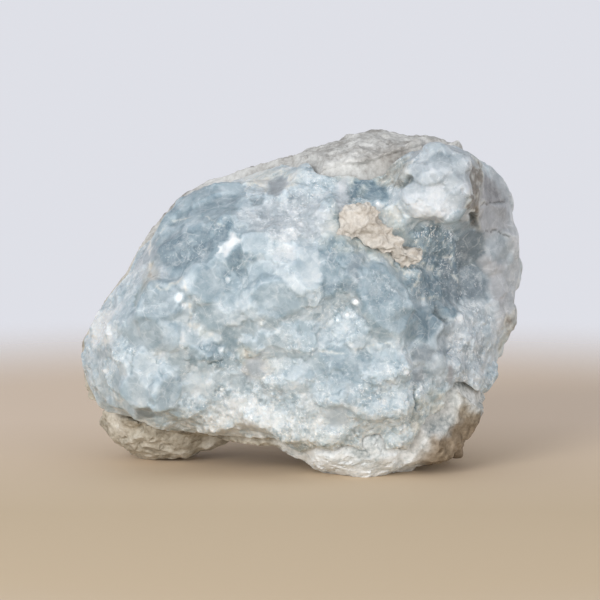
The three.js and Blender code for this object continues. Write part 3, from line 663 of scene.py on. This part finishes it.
# Half of the tone is the crystal's own, shaded off across it, and half is its place's. The seams
# are paler where it is sugary, and dust from the clay lies round it.
PALE_SEAM = 0.4  # mm
DUST_REACH = 4.5  # mm
cell_tints = tint_of(cell_places, cell_normals)
cell_tints[:, 0] += (0.03 + 0.03 * cell_sugar) * rng.standard_normal(len(cells))
shading = 0.04 * rng.standard_normal((len(cells), 3))
away = (places - cell_places[cell_of]) / cell_reach[cell_of][:, None]
tints = 0.5 * (cell_tints[cell_of] + place_tints)
tints[:, 0] += (shading[cell_of] * away).sum(1)
seam = np.clip(1 - border / PALE_SEAM, 0, 1) * np.clip(0.5 + 2 * broken[:, 0], 0, 1)
tints[:, 0] *= 1 - 0.25 * seam * (0.3 + 0.7 * sugar)
dust = (1 - clearance(clay_tree, places, DUST_REACH)) * np.clip(0.5 + 2.2 * broken[:, 2], 0, 1)
tints[:, 1] *= np.clip(1 + 0.8 * broken[:, 0], 0.3, 1.3)
tints[:, 1] = np.maximum(tints[:, 1], 0.45 * dust)
tints[:, 0] *= 1 - 0.4 * dust

# Lines across the face, as x and z of their points: half the width of the pale veins, and half the
# width and the depth of the cuts.
VEINS = [
    ([(-31.2, 50.5), (-30.6, 41.5), (-28, 38.5), (-23.6, 40.9), (-22.6, 36.5), (-22.2, 31.5)], 0.3),
    ([(-31, 46.5), (-27, 52.8), (-19.8, 53.6), (-16, 51.2)], 0.2),
    ([(-22.2, 31.5), (-19, 30.2), (-17.4, 29.4)], 0.6), ([(-12, 26), (-9.4, 25.6)], 0.7),
    ([(3.4, 26.2), (8.6, 25.8), (14, 27.6)], 0.25), ([(11.6, 52), (15, 49.6), (19.6, 46.4)], 0.7),
    ([(24.8, 49.4), (24.6, 46.9)], 0.3), ([(25.9, 50), (25.2, 47.4)], 0.2),
    ([(24.2, 43.6), (27.2, 42.6), (27.4, 41.6)], 0.6), ([(28.6, 45.4), (31.4, 44.6)], 0.25),
    ([(30.2, 47.4), (30.4, 42.6), (31.6, 40.4)], 0.3), ([(19.4, 45), (21.6, 41.6)], 0.5),
    ([(21.6, 43.6), (20.4, 42)], 0.4), ([(22.4, 45.6), (23.6, 40.6), (21.6, 38.6)], 0.35),
    ([(22.6, 39.4), (24.4, 36.8), (28, 37)], 0.35),
]
CUTS = [
    ([(27.4, 34.6), (29.2, 32.6)], 0.8, 1.4), ([(22.4, 18.6), (23, 14.4)], 0.3, 0.9),
    ([(31, 19.4), (32.6, 16.4)], 0.4, 0.8), ([(19.6, 59.6), (21, 60.8)], 0.6, 1.2),
    ([(34.2, 53.6), (35, 51.6)], 0.6, 1.4), ([(25, 12.4), (28.6, 13.6)], 0.3, 0.7),
    ([(-18.6, 23.6), (-16, 24.4)], 0.2, 0.4), ([(36, 55.6), (38.4, 56.6), (41.4, 57)], 0.2, 0.4),
    ([(37.6, 50.6), (40.4, 51), (42.4, 49.6)], 0.2, 0.3),
]


def off_line(flat, corners):
    """How far (mm) places on the face are from a line through corners."""
    nearest = np.full(len(flat), np.inf)
    for a, b in zip(corners, corners[1:]):
        a, b = np.array(a), np.array(b)
        share = np.clip((flat - a) @ (b - a) / ((b - a) @ (b - a)), 0, 1)
        nearest = np.minimum(nearest, np.linalg.norm(flat - a - share[:, None] * (b - a), axis=1))
    return nearest


def near_line(corners, half_width):
    """From 0 well off a line to 1 on it."""
    flat = on_the_face(places) + 0.35 * broken[:, ::2]
    return np.clip(1.5 - off_line(flat, corners) / half_width, 0, 1) * (places[:, 1] < 0)


def inside(flat, corners, blur):
    """From 0 outside an outline, through 0.5 on it, to 1 inside, over a blur (mm)."""
    x, z = flat.T
    closed = corners + corners[:1]
    crossed = np.zeros(len(flat), dtype=bool)
    for a, b in zip(closed, closed[1:]):
        spans = (a[1] > z) != (b[1] > z)
        crossed ^= spans & (x < a[0] + (z - a[1]) * (b[0] - a[0]) / (b[1] - a[1] + 1e-9))
    nearest = off_line(flat, closed)
    return np.clip(0.5 + np.where(crossed, nearest, -nearest) / blur, 0, 1)


FLATTEST = 0.45  # mm, the most that a flat face cuts off or adds
WORN_SHARE = 0.18  # how soft the edges of a flat face are, against its size
SOFTEST_EDGE = 1.1  # mm, and no softer than this in its shape
SOFTEST_TONE = 1.6  # mm, nor than this in its tone
FACE_SUGAR = 0.08
PLATE_EDGE = 0.3  # mm
in_front = np.clip((6 - places[:, 1]) / 4, 0, 1) * (normals[:, 1] < 0.35)


def flattened(points, share, direction=None):
    """The points, with a share of each brought onto one plane, square to a direction or, without
    one, nearly to their mean normal."""
    inner = share > 0.5
    if inner.sum() < 5:
        return points
    square = normals[inner].mean(0) + 0.05 * rng.standard_normal(3) if direction is None else direction
    square = square / np.linalg.norm(square)
    off = (places[inner].mean(0) - places) @ square / np.maximum(normals @ square, 0.5)
    flat = places + normals * np.clip(off, -FLATTEST, FLATTEST)[:, None]
    return points * (1 - share[:, None]) + flat * share[:, None]


polished = glints[cell_of].astype(float)
flat_places = on_the_face(places) + 0.25 * broken[:, ::2]
for blue, grey, corners in FLAT_FACES:
    soft = min(SOFTEST_TONE, WORN_SHARE * np.ptp(corners, 0).max())
    moved = flattened(moved, inside(flat_places, corners, min(SOFTEST_EDGE, soft)) * in_front)
    away = (flat_places - np.mean(corners, 0)) @ rng.standard_normal(2) / np.ptp(corners)
    face_tint = np.zeros((len(places), 4))
    face_tint[:, 0] = blue + 0.05 + 0.08 * away
    face_tint[:, 2] = FACE_SUGAR
    face_tint[:, 3] = grey
    share = (inside(flat_places + 0.3 * broken[:, ::2], corners, soft) * in_front)[:, None]
    tints = tints * (1 - share) + face_tint * share
share = inside(flat_places, BRIGHT_PLATE, PLATE_EDGE) * in_front
moved = flattened(moved, share, GLINT)
# Painted highlight: the plate is also painted nearly white over its real reflection of the window.
tints[:, :3] *= 1 - 0.75 * share[:, None]
for x, z, radius in GLINT_SPOTS:
    away = np.linalg.norm(flat_places - (x, z), axis=1)
    share = np.clip(1.5 - away / radius, 0, 1) * in_front
    moved = flattened(moved, share, GLINT)
    # Painted highlight: each glint spot is painted white as well as turned to the window and polished.
    tints[:, :3] *= 1 - share[:, None]
    polished = np.maximum(polished, share)

for points, half_width in VEINS:
    on_line = near_line(points, half_width)
    on_line *= np.clip(0.6 + 1.5 * broken[:, 1], 0, 1)
    tints[:, 0] *= 1 - 0.8 * on_line
    tints[:, 1] = np.maximum(tints[:, 1], 0.42 * on_line)
# The cuts sink into the crust and are painted dark slate with a little brown: partly the dark crystal
# there, partly painted shade in the gaps.
for points, half_width, deep in CUTS:
    on_line = near_line(points, half_width)
    moved -= normals * deep * on_line[:, None]
    tints[:, 0] = np.maximum(tints[:, 0], on_line)
    tints[:, 1] = np.maximum(tints[:, 1], 0.3 * on_line)
flecked = face_map(places, FLECKED_PLACES, 0)
tints[:, 2] = np.maximum(tints[:, 2], flecked)
set_places(lining.data, moved)
tint_points(lining.data, np.clip(tints, 0, 1))
polish = lining.data.attributes.new("polish", "FLOAT", "POINT")
polish.data.foreach_set("value", polished)

# The faces wear a little, and the mesh is thinned out on the side that lies against the rock.
FACE_WEAR = 4
HIDDEN_SIDE_FIRST = 1000  # how much more readily the mesh is thinned out there

against_rock = [int(number) for number in np.flatnonzero(hidden)]
lining.vertex_groups.new(name="against the rock").add(against_rock, 1.0, "REPLACE")
wear_edges(lining, FACE_WEAR)
thin = lining.modifiers.new("fewer faces", "DECIMATE")
thin.ratio = min(1, LINING_TRIANGLES / (2 * len(lining.data.polygons)))
thin.vertex_group = "against the rock"
thin.vertex_group_factor = HIDDEN_SIDE_FIRST
apply_modifiers(lining)


def new_noise(nodes, links, place, size, detail, roughness):
    """A noise pattern whose features are about size mm across."""
    pattern = nodes.new("ShaderNodeTexNoise")
    pattern.inputs["Scale"].default_value = 1 / (size * MM)
    pattern.inputs["Detail"].default_value = detail
    pattern.inputs["Roughness"].default_value = roughness
    links.new(place, pattern.inputs["Vector"])
    return pattern.outputs["Fac"]


# Celestite: the colour runs from white through milky blue to slate blue, in patches with straight
# borders where cleavage faces show from inside. White cracks and flecks cross it, clay has stained
# it cream in places, and its faces are glassy in some spots and frosted in others.
celestite_group, celestite_in, celestite_out = new_group(
    "celestite",
    [("Clouds", "NodeSocketFloat", 0.3), ("Veils", "NodeSocketFloat", 0.3),
     ("Cracks", "NodeSocketFloat", 0.5), ("Planes", "NodeSocketFloat", 1.0),
     ("Facets", "NodeSocketFloat", 0.3)],
    [("Color", "NodeSocketColor"), ("Roughness", "NodeSocketFloat"), ("Height", "NodeSocketFloat"),
     ("Normal", "NodeSocketVector")],
)
nodes, links = celestite_group.nodes, celestite_group.links
place = nodes.new("ShaderNodeTexCoord").outputs["Object"]
tint = nodes.new("ShaderNodeAttribute")
tint.attribute_name = "tint"
parts = nodes.new("ShaderNodeSeparateColor")
links.new(tint.outputs["Color"], parts.inputs["Color"])
sugar = parts.outputs["Blue"]
patches = new_ramp(nodes, links, new_noise(nodes, links, place, 6.0, 3, 0.6), [(0.46, 0.0), (0.56, 0.5)])
rough_share = new_math(nodes, links, "MULTIPLY", sugar, 4.0)
rough_share = new_math(nodes, links, "MINIMUM", rough_share, 1.0)
patches = new_math(nodes, links, "MULTIPLY", patches, rough_share)
sugar = new_math(nodes, links, "ADD", sugar, patches)
broad = new_noise(nodes, links, place, 4.0, 4, 0.6)
fine = new_noise(nodes, links, place, 1.3, 4, 0.65)
clouds = new_math(nodes, links, "SUBTRACT", broad, 0.5)
specks = new_math(nodes, links, "SUBTRACT", fine, 0.5)
specks = new_math(nodes, links, "MULTIPLY", specks, new_math(nodes, links, "ADD", sugar, 0.25))
clouds = new_math(nodes, links, "ADD", clouds, specks)
clouds = new_math(nodes, links, "MULTIPLY", clouds, celestite_in.outputs["Clouds"])
blue = new_math(nodes, links, "SUBTRACT", parts.outputs["Red"], clouds)
for size, share in ((2.4, 0.16), (1.1, 0.14)):
    planes = nodes.new("ShaderNodeTexVoronoi")
    planes.inputs["Scale"].default_value = 1 / (size * MM)
    planes.inputs["Randomness"].default_value = 0.9
    links.new(place, planes.inputs["Vector"])
    tone = nodes.new("ShaderNodeSeparateColor")
    links.new(planes.outputs["Color"], tone.inputs["Color"])
    tone = new_math(nodes, links, "SUBTRACT", tone.outputs["Red"], 0.5)
    tone = new_math(nodes, links, "MULTIPLY", tone, celestite_in.outputs["Planes"])
    blue = new_math(nodes, links, "ADD", blue, new_math(nodes, links, "MULTIPLY", tone, share))
color = new_ramp(nodes, links, blue, [
    (0.0, (0.685, 0.715, 0.722)), (0.25, (0.51, 0.578, 0.613)), (0.5, (0.355, 0.438, 0.482)),
    (0.75, (0.24, 0.322, 0.368)), (1.0, (0.135, 0.205, 0.25)),
])
veil = new_ramp(nodes, links, new_noise(nodes, links, place, 2.8, 5, 0.7), [(0.50, 0.0), (0.68, 1.0)])
veil = new_math(nodes, links, "MULTIPLY", veil, celestite_in.outputs["Veils"])
color = new_mix(nodes, links, veil, color, (0.75, 0.78, 0.79))
wander = nodes.new("ShaderNodeTexNoise")
wander.inputs["Scale"].default_value = 1 / (1.5 * MM)
links.new(place, wander.inputs["Vector"])
bent = nodes.new("ShaderNodeVectorMath")
bent.operation = "MULTIPLY_ADD"
links.new(wander.outputs["Color"], bent.inputs[0])
bent.inputs[1].default_value = (0.9 * MM, 0.9 * MM, 0.9 * MM)
links.new(place, bent.inputs[2])
borders = nodes.new("ShaderNodeTexVoronoi")
borders.feature = "DISTANCE_TO_EDGE"
borders.inputs["Scale"].default_value = 1 / (3.4 * MM)
links.new(bent.outputs["Vector"], borders.inputs["Vector"])
crack = new_ramp(nodes, links, borders.outputs["Distance"], [(0.0, 1.0), (0.05, 0.0)])
healed = new_ramp(nodes, links, new_noise(nodes, links, place, 2.6, 2, 0.5), [(0.46, 0.0), (0.56, 1.0)])
crack = new_math(nodes, links, "MULTIPLY", crack, healed)
crack = new_math(nodes, links, "MULTIPLY", crack, celestite_in.outputs["Cracks"])
color = new_mix(nodes, links, crack, color, (0.82, 0.835, 0.83))
fleck = new_ramp(nodes, links, new_noise(nodes, links, place, 0.55, 2, 0.6), [(0.64, 0.0), (0.72, 1.0)])
fleck = new_math(nodes, links, "MULTIPLY", fleck, new_math(nodes, links, "MULTIPLY", sugar, 0.8))
color = new_mix(nodes, links, fleck, color, (0.86, 0.87, 0.865))
thread = new_noise(nodes, links, bent.outputs["Vector"], 1.7, 3, 0.6)
thread = new_math(nodes, links, "ABSOLUTE", new_math(nodes, links, "SUBTRACT", thread, 0.5), 0.0)
thread = new_ramp(nodes, links, thread, [(0.0, 1.0), (0.028, 0.0)])
whole = new_ramp(nodes, links, new_noise(nodes, links, place, 1.2, 2, 0.5), [(0.47, 0.0), (0.55, 1.0)])
thread = new_math(nodes, links, "MULTIPLY", thread, whole)
thread = new_math(nodes, links, "MULTIPLY", thread, new_math(nodes, links, "MULTIPLY", sugar, 0.8))
color = new_mix(nodes, links, thread, color, (0.82, 0.84, 0.84))
lightness = nodes.new("ShaderNodeRGBToBW")
links.new(color, lightness.inputs["Color"])
# The grey is multiplied a little darker; on the right column it is partly painted shade.
lilac = new_mix(nodes, links, 1.0, lightness.outputs["Val"], (0.87, 0.88, 0.905), "MULTIPLY")
color = new_mix(nodes, links, tint.outputs["Alpha"], color, lilac)
# This channel also carries painted shade: the dark brown on the knob's right side and the right edge, and
# in the cuts.
stain_and_shade = new_ramp(nodes, links, parts.outputs["Green"], [
    (0.0, (1.0, 1.0, 1.0)), (0.5, (0.96, 0.91, 0.83)), (1.0, (0.42, 0.36, 0.30)),
])
color = new_mix(nodes, links, 1.0, color, stain_and_shade, "MULTIPLY")
links.new(color, celestite_out.inputs["Color"])
frost = new_ramp(nodes, links, fine, [(0.35, 0.33), (0.65, 0.56)])
polish = nodes.new("ShaderNodeAttribute")
polish.attribute_name = "polish"
frost = new_mix(nodes, links, polish.outputs["Fac"], frost, (0.05, 0.05, 0.05))
links.new(frost, celestite_out.inputs["Roughness"])
links.new(fine, celestite_out.inputs["Height"])
normal = nodes.new("ShaderNodeNewGeometry").outputs["Normal"]
facet_tilt = new_math(nodes, links, "MULTIPLY", celestite_in.outputs["Facets"], sugar)
for size, share in ((1.8, 0.7), (0.8, 0.9), (0.42, 1.3)):
    chips = nodes.new("ShaderNodeTexVoronoi")
    chips.inputs["Scale"].default_value = 1 / (size * MM)
    links.new(bent.outputs["Vector"], chips.inputs["Vector"])
    centred = nodes.new("ShaderNodeVectorMath")
    centred.operation = "SUBTRACT"
    links.new(chips.outputs["Color"], centred.inputs[0])
    centred.inputs[1].default_value = (0.5, 0.5, 0.5)
    tilt = nodes.new("ShaderNodeVectorMath")
    tilt.operation = "SCALE"
    links.new(centred.outputs["Vector"], tilt.inputs[0])
    links.new(new_math(nodes, links, "MULTIPLY", facet_tilt, share), tilt.inputs["Scale"])
    turned = nodes.new("ShaderNodeVectorMath")
    links.new(normal, turned.inputs[0])
    links.new(tilt.outputs["Vector"], turned.inputs[1])
    normal = turned.outputs["Vector"]
unit = nodes.new("ShaderNodeVectorMath")
unit.operation = "NORMALIZE"
links.new(normal, unit.inputs[0])
links.new(unit.outputs["Vector"], celestite_out.inputs["Normal"])


lining_material, nodes, links, shader = new_material("celestite")
look = put_group(
    nodes, celestite_group, Clouds=0.6, Veils=0.26, Cracks=0.25, Planes=1.0, Facets=0.38,
)
links.new(look.outputs["Color"], shader.inputs["Base Color"])
links.new(look.outputs["Roughness"], shader.inputs["Roughness"])
bump = nodes.new("ShaderNodeBump")
bump.inputs["Strength"].default_value = 0.12
bump.inputs["Distance"].default_value = 0.15 * MM
links.new(look.outputs["Height"], bump.inputs["Height"])
links.new(look.outputs["Normal"], bump.inputs["Normal"])
links.new(bump.outputs["Normal"], shader.inputs["Normal"])
shader.inputs["IOR"].default_value = 1.62
shader.inputs["Transmission Weight"].default_value = 0.08
shader.inputs["Subsurface Weight"].default_value = 0.8
shader.inputs["Subsurface Radius"].default_value = (0.9, 1.0, 1.1)
shader.inputs["Subsurface Scale"].default_value = 1.8 * MM
absorption = nodes.new("ShaderNodeVolumeAbsorption")
absorption.inputs["Color"].default_value = (0.72, 0.86, 0.94, 1)
absorption.inputs["Density"].default_value = 70
links.new(absorption.outputs["Volume"], nodes["Material Output"].inputs["Volume"])
lining.data.materials.append(lining_material)
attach(lining, "root")
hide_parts("crystal_lining")

# ---------------------------------------------------------------- clay
# Dried sandy clay left in a dip of the crystals below the white knob. It is crumbly, matte and
# tan, and it holds only where it dried onto the crystals.

CLAY_VOXEL = 0.3 * MM
CLAY_SMOOTHING = 10

clay = refined("clay_residue", "clay_surface", CLAY_VOXEL, CLAY_SMOOTHING)


def clay_relief(p):
    lumps = 0.9 * noise.noise(p / 2.2 + Vector((2, 2, 8)))
    crumbs = 0.7 * noise.noise(p / 1.0 + Vector((5, 1, 3)))
    return lumps + crumbs - 0.5


move_points(clay, clay_relief)
clay_material, nodes, links, shader = new_material("clay")
grain = put_group(nodes, grain_group, Patch=1 / (3 * MM), Speck=1 / (0.45 * MM))
shade = new_ramp(nodes, links, grain.outputs["Shade"], [
    (0.34, (0.36, 0.325, 0.28)), (0.46, (0.48, 0.445, 0.395)), (0.62, (0.61, 0.58, 0.53)),
])
links.new(shade, shader.inputs["Base Color"])
bump = nodes.new("ShaderNodeBump")
bump.inputs["Strength"].default_value = 0.7
bump.inputs["Distance"].default_value = 0.25 * MM
links.new(grain.outputs["Height"], bump.inputs["Height"])
links.new(bump.outputs["Normal"], shader.inputs["Normal"])
shader.inputs["Roughness"].default_value = 0.97
shader.inputs["Specular IOR Level"].default_value = 0.2
clay.data.materials.append(clay_material)
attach(clay, "root")
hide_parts("clay_residue")

# ---------------------------------------------------------------- studio
# A round pale table that fades into the backdrop, painted darker at the front and paler behind as painted
# shade and light, soft light from the upper left and a long lens.

CAMERA_FAR = 620 * MM
CAMERA_RISE = math.radians(6)
AIM = Vector((0, 0, 33 * MM))
PIXEL_AT_AIM = 0.208 * MM
PICTURE = 600  # pixels across
PIXELS_LEFT = -3  # how far the aim lies left of the picture's middle, in pixels
PIXELS_BELOW = 5

camera = bpy.data.objects.new("camera", bpy.data.cameras.new("camera"))
bpy.context.scene.collection.objects.link(camera)
bpy.context.scene.camera = camera
back = Vector((0, -math.cos(CAMERA_RISE), math.sin(CAMERA_RISE)))
camera.location = AIM + back * CAMERA_FAR
camera.rotation_mode = "QUATERNION"
camera.rotation_quaternion = (-back).to_track_quat("-Z", "Y")
camera.data.lens = camera.data.sensor_width * CAMERA_FAR / (PICTURE * PIXEL_AT_AIM)
camera.data.shift_x = PIXELS_LEFT / PICTURE
camera.data.shift_y = PIXELS_BELOW / PICTURE
camera.data.clip_start = 0.01
camera.data.clip_end = 10

TABLE_RADIUS = 300 * MM
FADE_START = 130 * MM
SHADED_DEPTH = 60 * MM  # the table grows paler from this far before the middle to this far behind
shape = bmesh.new()
bmesh.ops.create_circle(shape, cap_ends=True, segments=96, radius=TABLE_RADIUS)
table = piece_of(shape, "table")
table_material, nodes, links, shader = new_material("table")
shader.inputs["Roughness"].default_value = 0.75
shader.inputs["Specular IOR Level"].default_value = 0.2
place = nodes.new("ShaderNodeTexCoord").outputs["Object"]
along = nodes.new("ShaderNodeSeparateXYZ")
links.new(place, along.inputs["Vector"])
depth = nodes.new("ShaderNodeMapRange")
depth.inputs["From Min"].default_value = -SHADED_DEPTH
depth.inputs["From Max"].default_value = SHADED_DEPTH
links.new(along.outputs["Y"], depth.inputs["Value"])
# Painted shade and light: the table's colour runs from darker at the front to paler behind, standing in for
# how the light falls across it.
table_color = new_mix(nodes, links, depth.outputs["Result"], (0.63, 0.50, 0.34), (0.80, 0.65, 0.505))
links.new(table_color, shader.inputs["Base Color"])
away = nodes.new("ShaderNodeVectorMath")
away.operation = "LENGTH"
links.new(place, away.inputs[0])
fade = nodes.new("ShaderNodeMapRange")
fade.interpolation_type = "SMOOTHSTEP"
fade.inputs["From Min"].default_value = FADE_START
fade.inputs["From Max"].default_value = TABLE_RADIUS * 0.95
fade.inputs["To Min"].default_value = 1
fade.inputs["To Max"].default_value = 0
links.new(away.outputs["Value"], fade.inputs["Value"])
links.new(fade.outputs["Result"], shader.inputs["Alpha"])
table.data.materials.append(table_material)

world = bpy.data.worlds.new("studio")
bpy.context.scene.world = world
world.use_nodes = True
nodes, links = world.node_tree.nodes, world.node_tree.links
upward = nodes.new("ShaderNodeSeparateXYZ")
links.new(nodes.new("ShaderNodeTexCoord").outputs["Generated"], upward.inputs["Vector"])
wall = new_ramp(nodes, links, upward.outputs["Z"], [
    (0.12, (0.735, 0.745, 0.80)), (0.6, (0.50, 0.505, 0.53)),
])
links.new(wall, nodes["Background"].inputs["Color"])


def soft_light(name, place, size, power):
    """A round lamp that looks at the geode: its place and size in metres and its power in watts."""
    light = bpy.data.objects.new(name, bpy.data.lights.new(name, "AREA"))
    light.data.shape = "DISK"
    light.data.size = size
    light.data.energy = power
    light.location = place
    light.rotation_mode = "QUATERNION"
    light.rotation_quaternion = (Vector(place) - AIM).to_track_quat("Z", "Y")
    bpy.context.scene.collection.objects.link(light)


soft_light("window", place=(-0.45, -0.75, 0.32), size=0.5, power=5.5)
soft_light("side", place=(0.5, -0.8, 0.12), size=0.6, power=3.5)
bpy.context.scene.view_settings.view_transform = "Standard"
